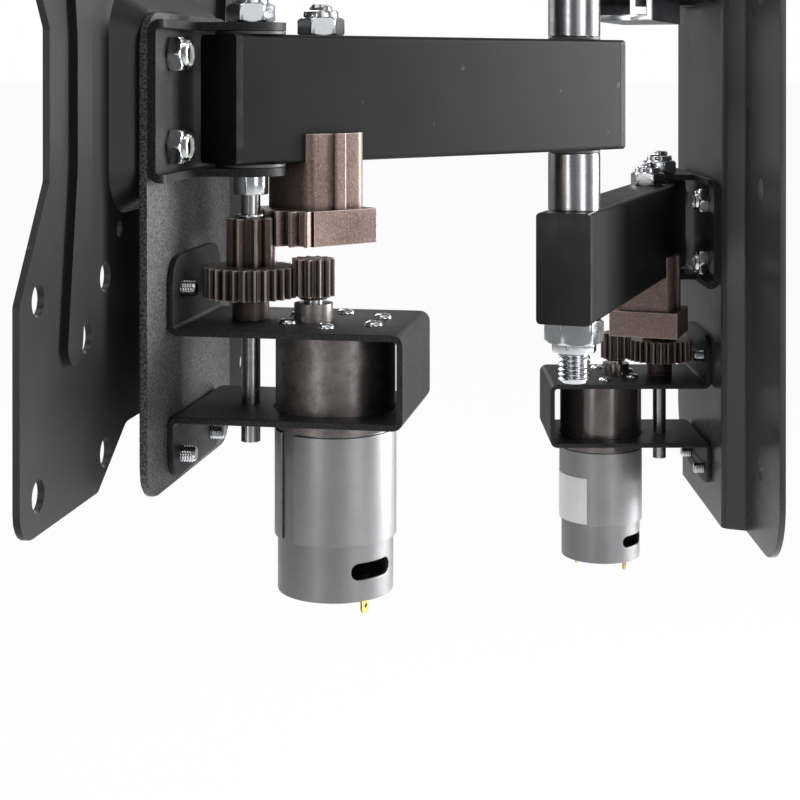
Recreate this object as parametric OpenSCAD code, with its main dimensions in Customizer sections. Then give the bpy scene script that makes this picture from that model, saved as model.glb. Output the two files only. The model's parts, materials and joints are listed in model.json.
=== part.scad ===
// Motorized wall mount for a television. A wall plate carries a pair of rear arms, the rear arms
// carry a front arm, and the front arm carries the plate that the television is bolted to.
// Two gear motors, one on the wall plate and one behind the television plate, swing the end pivots.
// X runs along the wall, Y points into the wall and Z is up. The wall is the plane Y = 0.

/* [Arms] */
// Distance between the two pivots of the front arm
front_arm_l = 142; // [110:1:260]
// Distance between the two pivots of a rear arm
rear_arm_l = 165.5; // [140:0.5:300]
// Width of the arm tubes
tube_w = 20; // [18:1:21]
// Height of the arm tubes
tube_h = 40; // [34:1:60]
// Wall of the arm tubes
tube_wall = 2; // [1.5:0.1:3]
// Length of tube beyond the elbow pivot
elbow_overhang = 16.5; // [13:0.5:24]
// Length of tube beyond the pivots at the plates
pivot_overhang = 12; // [10:0.5:12.5]
// Thickness of the plastic end caps
cap_t = 2.5; // [1.5:0.5:4]
// Length of the spacers between the front arm and the rear arms
spacer_l = 22; // [16:0.5:40]
// Corner radius of the arm tubes
tube_round = 1.6; // [1:0.1:3]

/* [Pose at rest] */
// Angle of the rear arms from the wall
rear_out = 20; // [15:0.1:70]
// Further turn of the front arm away from the wall
elbow_bend = 31.3; // [20:0.1:60]
// Turn of the television plate from the wall's direction
head_turn = 10.2; // [0:0.5:25]

/* [Clevises] */
// Width of the clevis base
clevis_w = 88; // [80:1:88]
// Thickness of the clevis sheet
clevis_t = 2.5; // [2:0.1:3.5]
// Distance from the clevis base to the pivot axis
clevis_reach = 16.5; // [16:0.5:22]
// Depth of the full-width part of the clevis flanges
clevis_lip = 5; // [4:0.5:6]
// Radius of the round end of the clevis tongues
tongue_r = 11; // [9:0.5:12]
// Distance of the base bolts from the middle, across
base_bolt_y = 29; // [24:0.5:34]
// Distance of the base bolts from the middle, upwards
base_bolt_z = 13.7; // [11:0.1:14]

/* [Drive gears] */
// Module of the motor gears
motor_module = 1; // [0.9:0.05:1.1]
// Teeth of the large gear on the pivot shaft
large_teeth = 28; // [24:2:28]
// Teeth of the motor pinion
pinion_teeth = 12; // [12:2:14]
// Height of the large gear
large_h = 9.5; // [6:0.5:12]
// Height of the motor pinion
pinion_h = 11.7; // [8:0.1:12]
// Module of the coupling teeth between the pivot gear and the arm casting
tie_module = 1.6; // [1.4:0.05:1.65]
// Teeth of the tall gear on the pivot shaft
tie_teeth = 8; // [8:2:8]
// Teeth of the full circle that the casting's toothed sector belongs to
sector_teeth = 26; // [24:2:28]
// Height of the tall gear
tie_h = 15; // [12:0.5:20]
// Height of the hub under the large gear
hub_h = 6.7; // [4:0.1:12]
// Diameter of the hub under the large gear
hub_d = 11.5; // [10:0.5:16]
// Diameter of the pivot gear's shaft
gear_shaft_d = 6; // [5:0.5:6]
// Length of the gear shaft below the bracket
shaft_tail = 10; // [6:0.5:16]

/* [Arm casting] */
// Height of the casting below the arm tube
casting_h = 26; // [22:0.5:32]
// Height of the toothed block at its foot
block_h = 11; // [9:0.5:13]
// Width of the toothed block
block_w = 30; // [26:0.5:32]
// Distance from the pivot to the far end of the toothed block
block_end = 38; // [36:0.5:42]
// Wall of the saddle that hugs the tube
saddle_wall = 2.4; // [1.6:0.1:2.8]
// Height of the saddle above the underside of the tube
saddle_h = 9; // [5:0.5:14]
// Length of the saddle along the tube
saddle_l = 23; // [18:0.5:23.5]
// Corner radius of the casting's upright column
casting_round = 4; // [2:0.5:5]
// Width of the rib on each side of the column
rib_w = 4.5; // [3:0.5:6]
// Height of the rib above the side of the column
rib_proud = 1.6; // [1:0.1:2.4]

/* [Motor bracket] */
// Width of the bracket
bracket_w = 52; // [46:1:60]
// Thickness of the bracket sheet
bracket_t = 2; // [1.5:0.1:2.5]
// Distance from the pivot axis to the bracket's end wall
bracket_end = 52.5; // [50:0.5:60]
// Gap between the two shelves of the bracket
bracket_gap = 24.1; // [20:0.1:28]
// Height of the upper flange above the upper shelf
upper_flange = 21.4; // [16:0.1:21.4]
// Depth of the lower flange below the lower shelf
lower_flange = 17; // [14:0.5:20]
// Distance of the bracket screws from the middle of the bracket
mount_screw_y = 16; // [13:0.5:18]
// Distance of the bracket screws from the shelves
mount_screw_z = 11; // [8:0.5:12]
// Reach of the bracket screws beyond the flanges
mount_screw_tip = 4.2; // [2:0.1:6]

/* [Gear motor] */
// Diameter of the gearbox
gearbox_d = 37; // [35:0.5:38]
// Length of the gearbox
gearbox_l = 30; // [28:0.5:36]
// Distance of the output shaft from the gearbox axis
shaft_offset = 7; // [6:0.5:8]
// Diameter of the output shaft
motor_shaft_d = 6; // [5:0.5:6]
// Diameter of the motor can
motor_d = 35.6; // [33:0.1:36]
// Length of the motor can
motor_l = 50; // [44:1:60]
// Length of the flux ring round the can
ring_l = 33; // [26:1:36]
// Thickness of the flux ring
ring_t = 1; // [0.6:0.1:1.4]
// Width of the gap between the flux ring's ends
ring_gap = 6; // [2:0.5:10]

/* [Television plate] */
// Width of the television plate
vesa_w = 224; // [220:1:240]
// Height of the television plate
vesa_h = 220; // [216:1:240]
// Width of the plate at its waist
vesa_waist = 184; // [170:1:200]
// Thickness of the television plate
vesa_t = 2; // [1.5:0.1:3]
// Height of the pressed boss that carries the spine
boss_h = 8; // [6:0.5:10]
// Width of the boss at its foot
boss_w = 94; // [92:1:104]
// Height of the boss's foot on the plate, upwards
boss_tall = 66; // [64:1:80]
// Corner radius of the boss at its foot
boss_round = 14; // [12:0.5:18]
// Run of the boss's sloping sides
boss_slope = 6; // [3:0.5:6]
// Distance of the pressed beads from the middle
bead_y = 72; // [66:1:76]
// Width of the pressed beads
bead_w = 11; // [8:0.5:12]
// Height of the pressed beads
bead_h = 2.2; // [1.5:0.1:2.6]
// Reach of the beads above and below the middle
bead_reach = 70; // [50:1:80]
// Spacing of the outer bolt holes
vesa_outer = 200; // [200:1:200]
// Spacing of the inner bolt holes
vesa_inner = 100; // [100:1:100]
// Spacing of the smallest bolt pattern
vesa_small = 75; // [75:1:75]
// Spacing of the diagonal bolt holes between the inner and the outer rows
vesa_diagonal = 130; // [125:1:135]
// Diameter of the bolt holes
vesa_hole_d = 8.6; // [6:0.1:9]
// Diameter of the smallest pattern's holes
vesa_small_d = 5; // [4.5:0.1:6]

/* [Spine] */
// Thickness of the spine plate
spine_t = 2.5; // [2:0.1:4]
// Reach of the spine above the arm centre
spine_top = 26; // [25:0.5:40]
// Reach of the spine below the lower flange of the bracket
spine_foot = 2.5; // [1:0.5:10]

/* [Wall plate] */
// Width of the wall plate
wall_w = 228; // [210:1:260]
// Height of the wall plate
wall_h = 376; // [350:1:420]
// Corner radius of the wall plate
wall_round = 26; // [8:1:30]
// Depth of its raised middle
hat_depth = 12; // [10:0.5:18]
// Width of the raised middle
hat_w = 96; // [94:1:110]
// Thickness of the wall plate
wall_t = 2.5; // [2:0.1:3]
// Spacing of the wall bolts across
wall_bolt_x = 160; // [150:1:180]
// Spacing of the outer wall bolts upwards
wall_bolt_z = 310; // [280:1:325]
// Spacing of the inner wall bolts upwards
wall_mid_z = 80; // [60:1:120]
// Diameter of the wall bolt holes
wall_hole_d = 9; // [7:0.5:11]

/* [Cable clip] */
// Length of the clip along the arm
clip_l = 60; // [40:1:70]
// Distance of the clip's inner end from the elbow
clip_from_elbow = 100; // [90:1:110]
// Wall of the clip
clip_wall = 2.5; // [1.5:0.1:3]
// Height of the cable channel
clip_channel = 9; // [6:0.5:10]
// Width of the slot that the cable goes in by
clip_slot = 6; // [4:0.5:8]
// Reach of the clip above the underside of the arm
clip_rise = 18; // [12:1:24]

/* [Fasteners] */
// Diameter of the elbow bolt
elbow_bolt_d = 12; // [10:0.5:12]
// Diameter of the elbow spacers
spacer_d = 19; // [17:0.5:20]
// Diameter of the pivot bolts
pivot_bolt_d = 8; // [7:0.5:8]
// Diameter of the clevis base bolts
base_bolt_d = 6; // [5:0.5:6]
// Diameter of the bracket screws
mount_screw_d = 5; // [4:0.5:5]
// Diameter of the gearbox screws
screw_d = 3; // [2.5:0.5:3]

/* [Fits] */
// Radial clearance of shafts that turn in holes
running = 0.05; // [0.02:0.01:0.08]
// Radial clearance of fixed bolts in their holes
loose = 0.2; // [0.1:0.05:0.4]
// Gap between flat faces that slide past each other
face_gap = 0.2; // [0.15:0.05:0.4]
// Thickness of the bush flanges
flange_t = 1; // [0.6:0.1:1.6]
// Backlash taken off each side of a gear tooth
backlash = 0.12; // [0.08:0.01:0.2]

/* [Hidden] */
$fn = 48;
eps = 0.01;
gearbox_wall = 2;
gearbox_floor = 3;
output_boss_d = 12;
output_boss_h = 7.4;
screw_ring_d = 31;
can_wall = 1.2;
tooth_angle = 25;
tooth_addendum = 0.85;
tooth_dedendum = 1.15;
rim_round = 10;
bend_r = 1.2;
bush_wall = 2;
bush_l = 12;
nut_flat = 1.65;
nut_height = 1;
plug_gap = 0.3;
plug_most = 4;
lip_round = 2;
fine_steps = 12;
window_turn = -38;
terminal_turn = -28;
ring_gap_turn = -131;
bead_straight = 18;
bead_lean = 8;

pivot_to_face = clevis_reach + clevis_t;
tube_top = tube_h / 2;
tongue_in = tube_top + flange_t + face_gap;
tongue_out = tongue_in + clevis_t;
pivot_head_h = 5.8;
block_top = -(tube_top + casting_h - block_h);
tie_top = block_top - 2;
large_top = tie_top - tie_h;
hub_foot = large_top - large_h - hub_h;
shelf_top = hub_foot - face_gap;
shelf_low = shelf_top - bracket_t - bracket_gap;
bracket_foot = shelf_low - bracket_t - lower_flange;
pinion_top = large_top + 2.8;
pinion_x = motor_module * (large_teeth + pinion_teeth) / 2;
motor_x = pinion_x + shaft_offset;
sector_x = tie_module * (tie_teeth + sector_teeth) / 2;
gearbox_top = shelf_top - bracket_t;
motor_top = gearbox_top - gearbox_l;
motor_foot = motor_top - motor_l;
rear_z = tube_top + spacer_l + tube_top;
spine_bottom = bracket_foot - spine_foot;
vesa_face = -(pivot_to_face + spine_t + boss_h);

wall_pivot = [0, -(hat_depth + pivot_to_face)];
elbow = wall_pivot + rear_arm_l * [cos(rear_out), -sin(rear_out)];
front_heading = -(rear_out + elbow_bend);
tv_pivot = elbow + front_arm_l * [cos(front_heading), sin(front_heading)];
wall_axis = -90;
head_axis = 90 - head_turn;
front_axis = front_heading + 180;

// Places, each with its own x direction: away from a plate, or along an arm
module at_wall(z = 0) {
    translate([wall_pivot.x, wall_pivot.y, z]) rotate([0, 0, wall_axis]) children();
}
module at_head(z = 0) {
    translate([tv_pivot.x, tv_pivot.y, z]) rotate([0, 0, head_axis]) children();
}
module on_rear(z) {
    translate([wall_pivot.x, wall_pivot.y, z]) rotate([0, 0, -rear_out]) children();
}
module on_front() {
    translate([tv_pivot.x, tv_pivot.y, 0]) rotate([0, 0, front_axis]) children();
}

// Points of an arc of radius r that rounds the corner b between a and c
function round_corner(a, b, c, r, steps = 5) = r <= 0 ? [b] :
    let (u = (a - b) / norm(a - b), v = (c - b) / norm(c - b), half = acos(u * v) / 2,
        centre = b + (u + v) / norm(u + v) * r / sin(half),
        from = b + u * r / tan(half) - centre, to = b + v * r / tan(half) - centre,
        turn = sign(cross(from, to)) * (180 - 2 * half))
    [for (i = [0:steps]) let (t = turn * i / steps)
        centre + [from.x * cos(t) - from.y * sin(t), from.x * sin(t) + from.y * cos(t)]];

// An outline with every corner i rounded by radii[i]
function rounded(pts, radii, steps = 5) = let (n = len(pts)) [for (i = [0:n - 1])
    each round_corner(pts[(i + n - 1) % n], pts[i], pts[(i + 1) % n], radii[i], steps)];

function same(n, value) = [for (i = [1:n]) value];
function reversed(list) = [for (i = [len(list) - 1:-1:0]) list[i]];
function left_of(a, b) = [a.y - b.y, b.x - a.x] / norm(b - a);

// A path moved sideways by d, with mitred corners
function beside(path, d) = [for (i = [0:len(path) - 1])
    let (m = i == 0 ? left_of(path[0], path[1]) : left_of(path[i - 1], path[i]),
        n = i == len(path) - 1 ? m : left_of(path[i], path[i + 1]))
    path[i] + (m + n) / (1 + m * n) * d];

function bend_sign(path, i) = i == 0 || i == len(path) - 1 ? 0 :
    sign(cross(path[i] - path[i - 1], path[i + 1] - path[i]));

// The section of a bent sheet of thickness t whose middle follows the path
module bent_section(path, t) {
    left_radii = [for (i = [0:len(path) - 1]) let (s = bend_sign(path, i))
        s == 0 ? 0 : s > 0 ? bend_r : bend_r + t];
    right_radii = [for (i = [0:len(path) - 1]) let (s = bend_sign(path, i))
        s == 0 ? 0 : s < 0 ? bend_r : bend_r + t];
    polygon(rounded(concat(beside(path, t / 2), reversed(beside(path, -t / 2))),
        concat(left_radii, reversed(right_radii))));
}

// A section in x and z, drawn out across y
module across(width) {
    rotate([90, 0, 0]) linear_extrude(width, center = true) children();
}

// An outline in y and z, thickened along x from x = 0
module facing(thickness) {
    rotate([90, 0, 90]) linear_extrude(thickness) children();
}

function box_outline(w, low, high) = [[-w / 2, low], [w / 2, low], [w / 2, high], [-w / 2, high]];

module rounded_box(w, low, high, r, steps = 5) {
    polygon(rounded(box_outline(w, low, high), same(4, r), steps));
}

// Half angle of an involute tooth at radius r
function involute(r, base) = let (a = acos(min(1, base / r))) tan(a) * 180 / PI - a;
function tooth_half(m, n, r) = let (pitch = m * n / 2, base = pitch * cos(tooth_angle))
    90 / n - backlash / pitch * 180 / PI + involute(pitch, base) - involute(max(r, base), base);
function polar(r, a) = [r * cos(a), r * sin(a)];

// The outline of a spur gear of module m and n teeth, with a tooth on the x axis
module gear_outline(m, n) {
    pitch = m * n / 2;
    root = pitch - tooth_dedendum * m;
    tip = pitch + tooth_addendum * m;
    rise = [root, max(root + eps, pitch * cos(tooth_angle)), pitch, (pitch + tip) / 2, tip];
    polygon([for (k = [0:n - 1]) each concat(
        [for (r = rise) polar(r, 360 / n * k - tooth_half(m, n, r))],
        [for (r = reversed(rise)) polar(r, 360 / n * k + tooth_half(m, n, r))])]);
}

module gear(m, n, h, bore) {
    linear_extrude(h) difference() {
        gear_outline(m, n);
        circle(d = bore);
    }
}

// A tube from a to b along x, with rounded corners
module box_tube(a, b) {
    translate([a, 0, 0]) facing(b - a) difference() {
        rounded_box(tube_w, -tube_top, tube_top, tube_round);
        rounded_box(tube_w - 2 * tube_wall, -tube_top + tube_wall, tube_top - tube_wall, tube_round / 3);
    }
}

module upright(d, low, high) {
    translate([0, 0, low]) cylinder(d = d, h = high - low);
}

// A nut of thread d standing on z = 0, with its round locking collar
module lock_nut(d) {
    flat = nut_flat * d;
    difference() {
        union() {
            intersection() {
                cylinder(d = flat / cos(30), h = nut_height * d * 0.72, $fn = 6);
                cylinder(d1 = flat * 1.28, d2 = flat * 1.02, h = nut_height * d);
            }
            cylinder(d = flat * 0.86, h = nut_height * d);
        }
        translate([0, 0, -1]) cylinder(d = d + 2 * running, h = nut_height * d + 2);
    }
}

// A button head on z = 0 with a hexagon socket, over a shank of length l below it
module button_bolt(d, head_d, head_h, l) {
    difference() {
        union() {
            cylinder(d = head_d, h = head_h * 0.5);
            translate([0, 0, head_h * 0.5]) cylinder(d1 = head_d, d2 = head_d * 0.62, h = head_h * 0.5);
            translate([0, 0, -l]) cylinder(d = d, h = l + eps);
        }
        translate([0, 0, head_h * 0.35]) cylinder(d = d * 0.6, h = head_h, $fn = 6);
    }
}

// A bush with its flange at z = 0 and its sleeve below, as pressed into the top of a tube
module flanged_bush(bolt_d, flange_d) {
    difference() {
        union() {
            cylinder(d = flange_d, h = flange_t);
            upright(bolt_d + 2 * bush_wall, -bush_l, eps);
        }
        upright(bolt_d + 2 * loose, -bush_l - 1, flange_t + 1);
    }
}

module both_ends() {
    children();
    mirror([0, 0, 1]) children();
}

// The parts that the wall end and the television end share, drawn about the pivot axis
module clevis() {
    mid = tongue_out - clevis_t / 2;
    back = -pivot_to_face + clevis_t / 2;
    lip = -pivot_to_face + clevis_lip;
    difference() {
        union() {
            intersection() {
                across(clevis_w) bent_section([[lip, mid], [back, mid], [back, -mid], [lip, -mid]], clevis_t);
                translate([0, 0, -tongue_out]) linear_extrude(2 * tongue_out) polygon(rounded(
                    [[back - clevis_t, -clevis_w / 2], [lip, -clevis_w / 2], [lip, clevis_w / 2],
                        [back - clevis_t, clevis_w / 2]], [0, lip_round, lip_round, 0]));
            }
            both_ends() {
                translate([lip - eps, -tongue_r, tongue_in]) cube([-lip + eps, 2 * tongue_r, clevis_t]);
                upright(2 * tongue_r, tongue_in, tongue_out);
            }
        }
        upright(pivot_bolt_d + 2 * running, -tongue_out - 1, tongue_out + 1);
        base_holes(-pivot_to_face, clevis_t);
    }
}

// The four holes of the clevis base, through a sheet that starts at x
module base_holes(x, t) {
    for (y = [-1, 1], z = [-1, 1])
        translate([x - 1, y * base_bolt_y, z * base_bolt_z]) rotate([0, 90, 0])
            cylinder(d = base_bolt_d + 2 * loose, h = t + 2);
}

// Base bolts, with their heads against the far side of a stack that is grip thick behind the base
module base_bolts(grip) {
    for (y = [-1, 1], z = [-1, 1])
        translate([-pivot_to_face - grip, y * base_bolt_y, z * base_bolt_z]) rotate([0, -90, 0])
            button_bolt(base_bolt_d, 1.7 * base_bolt_d, 3, grip + clevis_t + base_bolt_d + 1);
}

module base_nuts() {
    for (y = [-1, 1], z = [-1, 1])
        translate([-clevis_reach, y * base_bolt_y, z * base_bolt_z]) rotate([0, 90, 0])
            lock_nut(base_bolt_d);
}

// The bent bracket: upper flange, upper shelf, end wall, lower shelf and lower flange
module motor_bracket() {
    face = -pivot_to_face + bracket_t / 2;
    end = bracket_end - bracket_t / 2;
    high = shelf_top - bracket_t / 2;
    low = shelf_low - bracket_t / 2;
    difference() {
        intersection() {
            across(bracket_w) bent_section([[face, shelf_top + upper_flange], [face, high],
                [end, high], [end, low], [face, low], [face, bracket_foot]], bracket_t);
            translate([-pivot_to_face, 0, 0]) facing(pivot_to_face + bracket_end)
                rounded_box(bracket_w, bracket_foot, shelf_top + upper_flange, 8);
        }
        upright(gear_shaft_d + 2 * running, bracket_foot, shelf_top + 1);
        translate([pinion_x, 0, 0]) upright(output_boss_d + 2 * loose, gearbox_top - 1, shelf_top + 1);
        translate([motor_x, 0, 0]) upright(gearbox_d + 1, shelf_low - bracket_t - 1, shelf_low + 1);
        screw_places() upright(screw_d + 2 * loose, gearbox_top - 1, shelf_top + 1);
        mount_screw_places() rotate([0, 90, 0]) translate([0, 0, -1])
            cylinder(d = mount_screw_d + 2 * running, h = bracket_t + 2);
    }
}

module screw_places() {
    for (i = [0:5])
        translate([motor_x, 0, 0]) rotate([0, 0, 30 + 60 * i]) translate([screw_ring_d / 2, 0, 0]) children();
}

module mount_screw_places() {
    for (y = [-1, 1], z = [shelf_top + mount_screw_z, shelf_low - bracket_t - mount_screw_z])
        translate([-pivot_to_face, y * mount_screw_y, z]) children();
}

// Screws from behind a sheet that is grip thick, threaded into the bracket's flanges
module bracket_screws(grip) {
    mount_screw_places() translate([-grip, 0, 0]) rotate([0, -90, 0])
        button_bolt(mount_screw_d, 1.8 * mount_screw_d, 2.4, grip + bracket_t + mount_screw_tip);
}

module screw_holes(grip) {
    mount_screw_places() rotate([0, -90, 0]) translate([0, 0, -1])
        cylinder(d = mount_screw_d + 2 * loose, h = grip + 2);
}

// A cup that the motor closes from below, with the output shaft's boss on its face
module gearbox_housing() {
    difference() {
        union() {
            translate([motor_x, 0, 0]) upright(gearbox_d, motor_top, gearbox_top);
            translate([pinion_x, 0, 0])
                upright(output_boss_d, gearbox_top - eps, gearbox_top + output_boss_h);
        }
        translate([motor_x, 0, 0])
            upright(gearbox_d - 2 * gearbox_wall, motor_top - 1, gearbox_top - gearbox_floor);
        translate([pinion_x, 0, 0])
            upright(motor_shaft_d + 2 * running, motor_top, gearbox_top + output_boss_h + 1);
        screw_places() upright(screw_d + 2 * running, gearbox_top - gearbox_floor - 1, gearbox_top + 1);
    }
}

module gearbox_screws() {
    screw_places() translate([0, 0, shelf_top]) difference() {
        union() {
            cylinder(d = screw_d * 1.9, h = 0.9);
            translate([0, 0, 0.9]) cylinder(d1 = screw_d * 1.9, d2 = screw_d, h = 0.9);
            translate([0, 0, -bracket_t - gearbox_floor])
                cylinder(d = screw_d, h = bracket_t + gearbox_floor + 1);
        }
        for (a = [0, 90]) rotate([0, 0, a]) translate([-screw_d * 0.6, -0.3, 0.8])
            cube([screw_d * 1.2, 0.6, 2]);
    }
}

// Can of the motor, with two windows near its foot
module motor_can() {
    translate([motor_x, 0, 0]) difference() {
        upright(motor_d, motor_foot, motor_top);
        upright(motor_d - 2 * can_wall, motor_foot - 1, motor_top - can_wall);
        upright(6 + 2 * loose, motor_top - can_wall - 1, motor_top + 1);
        for (a = [0, 180]) rotate([0, 0, window_turn + a]) translate([motor_d / 2, 0, motor_foot + 9])
            can_window();
    }
}

module can_window() {
    for (y = [-5, 5]) translate([0, y, 0]) rotate([0, 90, 0]) cylinder(d = 5, h = 8, center = true);
    cube([8, 10, 5], center = true);
}

module flux_ring() {
    translate([motor_x, 0, 0]) difference() {
        upright(motor_d + 2 * ring_t, motor_top - ring_l, motor_top - 0.5);
        upright(motor_d + loose, motor_top - ring_l - 1, motor_top);
        rotate([0, 0, ring_gap_turn]) translate([motor_d / 2 - 1, -ring_gap / 2, motor_top - ring_l - 1])
            cube([4, ring_gap, ring_l + 2]);
    }
}

module motor_end_cap() {
    inner = motor_d - 2 * can_wall;
    translate([motor_x, 0, 0]) difference() {
        union() {
            upright(inner, motor_foot + 1, motor_foot + 4);
            upright(10, motor_foot - 1.5, motor_foot + 1.5);
        }
        upright(3 + 2 * running, motor_foot - 0.4, motor_foot + 5);
        terminal_places() translate([-0.4 - eps, -1.6, -9]) cube([0.8 + 2 * eps, 3.2, 20]);
    }
}

module terminal_places() {
    for (a = [0, 180]) rotate([0, 0, terminal_turn + a]) translate([11.5, 0, motor_foot]) children();
}

module motor_terminals() {
    translate([motor_x, 0, 0]) terminal_places() difference() {
        union() {
            translate([-0.4, -1.6, -4.5]) cube([0.8, 3.2, 10]);
            translate([-0.4, 0, -4.5]) rotate([0, 90, 0]) cylinder(d = 3.2, h = 0.8);
        }
        translate([-1, 0, -3.6]) rotate([0, 90, 0]) cylinder(d = 1.4, h = 2);
    }
}

module motor_magnets() {
    inner = motor_d - 2 * can_wall;
    translate([motor_x, 0, 0]) difference() {
        upright(inner, motor_top - 36, motor_top - 6);
        upright(24, motor_top - 37, motor_top - 5);
        for (a = [0, 90]) rotate([0, 0, a]) translate([0, 0, motor_top - 21])
            cube([8, a == 0 ? motor_d : 8, 40], center = true);
    }
}

// Three-pole armature on its shaft, with the commutator below the winding
module armature() {
    translate([motor_x, 0, 0]) {
        difference() {
            upright(22, motor_top - 34, motor_top - 8);
            for (a = [60, 180, 300]) rotate([0, 0, a]) translate([6, -1.2, motor_top - 35])
                cube([6, 2.4, 28]);
        }
        upright(3, motor_foot, motor_top + 4);
        upright(8, motor_top - 42, motor_top - 34 + eps);
    }
}

module output_shaft() {
    translate([pinion_x, 0, 0]) {
        upright(motor_shaft_d, gearbox_top - gearbox_floor - 8, pinion_top);
        translate([0, 0, gearbox_top - gearbox_floor - 6]) gear(0.6, 28, 5, motor_shaft_d - 1);
    }
}

module pinion() {
    translate([pinion_x, 0, 0]) {
        translate([0, 0, pinion_top - pinion_h])
            gear(motor_module, pinion_teeth, pinion_h, motor_shaft_d + 2 * eps);
        difference() {
            upright(motor_shaft_d + 2.6, pinion_top - pinion_h - 1, pinion_top - pinion_h + eps);
            upright(motor_shaft_d + 2 * eps, pinion_top - pinion_h - 2, pinion_top);
        }
    }
}

// The tall tie gear, the large gear and the hub in one piece, turned to mesh with both neighbours
module compound_gear(arm_angle) {
    overlap = large_h / 3;
    difference() {
        union() {
            translate([0, 0, large_top - overlap]) rotate([0, 0, arm_angle + 180 / tie_teeth])
                linear_extrude(tie_h + overlap) gear_outline(tie_module, tie_teeth);
            translate([0, 0, large_top - large_h]) rotate([0, 0, 180 / large_teeth])
                linear_extrude(large_h) gear_outline(motor_module, large_teeth);
            upright(hub_d, hub_foot, hub_foot + hub_h + overlap);
        }
        upright(gear_shaft_d + 2 * eps, hub_foot - 1, tie_top + 1);
    }
}

module gear_shaft() {
    clip_low = tie_top + 0.3;
    difference() {
        upright(gear_shaft_d, shelf_low - bracket_t - shaft_tail, -(tongue_out + face_gap + pivot_head_h));
        difference() {
            upright(gear_shaft_d + 1, clip_low, clip_low + 0.9);
            upright(gear_shaft_d - 1, clip_low - 1, clip_low + 2);
        }
    }
}

module e_clip() {
    clip_low = tie_top + 0.3;
    difference() {
        upright(gear_shaft_d + 3.6, clip_low + 0.05, clip_low + 0.85);
        upright(gear_shaft_d - 1 + 2 * running, clip_low - 1, clip_low + 2);
        translate([-1.8, 0, clip_low - 1]) cube([3.6, 8, 3]);
    }
}

// A saddle under the tube that ends in a block with the toothed sector
module arm_casting() {
    start = block_end - 24.5;
    block_low = block_top - block_h;
    half_w = tube_w / 2 + saddle_wall;
    column_h = casting_h - block_h + saddle_h + eps;
    difference() {
        union() {
            translate([start + saddle_l / 2, 0, block_top - eps]) linear_extrude(column_h)
                rounded_box(saddle_l, -half_w, half_w, casting_round);
            translate([start, -block_w / 2, block_low]) cube([block_end - start, block_w, block_h]);
            intersection() {
                translate([sector_x, 0, block_low]) linear_extrude(block_h)
                    gear_outline(tie_module, sector_teeth);
                translate([0, -block_w / 2, block_low]) cube([sector_x, block_w, block_h]);
            }
            translate([start + saddle_l / 2, 0, block_top - eps]) linear_extrude(column_h)
                rounded_box(rib_w, -half_w - rib_proud, half_w + rib_proud, 1);
        }
        translate([start - 20, -tube_w / 2, -tube_top]) cube([60, tube_w, tube_h]);
        translate([sector_x, 0, 0]) {
            upright(pivot_bolt_d + 2 * loose, block_low - 1, 0);
            upright(pivot_bolt_d * 1.6 + 2 * loose, block_low - 1, block_low + pivot_bolt_d);
        }
    }
}

// The arm bolts: one through the clevis, one through the casting
module pivot_bolt() {
    head = -(tongue_out + face_gap);
    upright(pivot_bolt_d, head - eps, tongue_out + face_gap + pivot_bolt_d + 2);
    upright(pivot_bolt_d * 1.37, head - pivot_head_h, head);
}

module pivot_nut() {
    translate([0, 0, tongue_out + face_gap]) lock_nut(pivot_bolt_d);
}

module casting_bolt() {
    head = block_top - block_h + pivot_bolt_d;
    translate([sector_x, 0, 0]) difference() {
        union() {
            upright(pivot_bolt_d, head - eps, tube_top + pivot_bolt_d + 2);
            upright(pivot_bolt_d * 1.6, head - pivot_bolt_d, head);
        }
        upright(pivot_bolt_d * 0.8, head - pivot_bolt_d - 1, head - pivot_bolt_d * 0.5, $fn = 6);
    }
}

module casting_nut() {
    translate([sector_x, 0, tube_top]) lock_nut(pivot_bolt_d);
}

// A cap on a tube end at x, with a plug that stops short of the bolt's sleeve
module tube_cap(x, outwards, bolt_d) {
    inner_w = tube_w - 2 * tube_wall - 0.2;
    inner_h = tube_top - tube_wall - 0.1;
    overhang = outwards > 0 ? elbow_overhang : pivot_overhang;
    plug_l = max(plug_gap, min(plug_most, overhang - cap_t - bolt_d / 2 - bush_wall - plug_gap));
    translate([x, 0, 0]) mirror([outwards > 0 ? 0 : 1, 0, 0]) {
        facing(cap_t) rounded_box(tube_w, -tube_top, tube_top, tube_round);
        translate([-plug_l, 0, 0]) facing(plug_l + eps) difference() {
            rounded_box(inner_w, -inner_h, inner_h, 1);
            rounded_box(inner_w - 3, -inner_h + 1.5, inner_h - 1.5, 0.8);
        }
    }
}

// A rear arm about its own middle, with its two pivot holes
module rear_tube() {
    difference() {
        box_tube(-pivot_overhang + cap_t, rear_arm_l + elbow_overhang - cap_t);
        upright(pivot_bolt_d + 2 * bush_wall, -tube_top - 1, tube_top + 1);
        translate([rear_arm_l, 0, 0]) upright(elbow_bolt_d + 2 * running, -tube_top - 1, tube_top + 1);
    }
}

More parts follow.
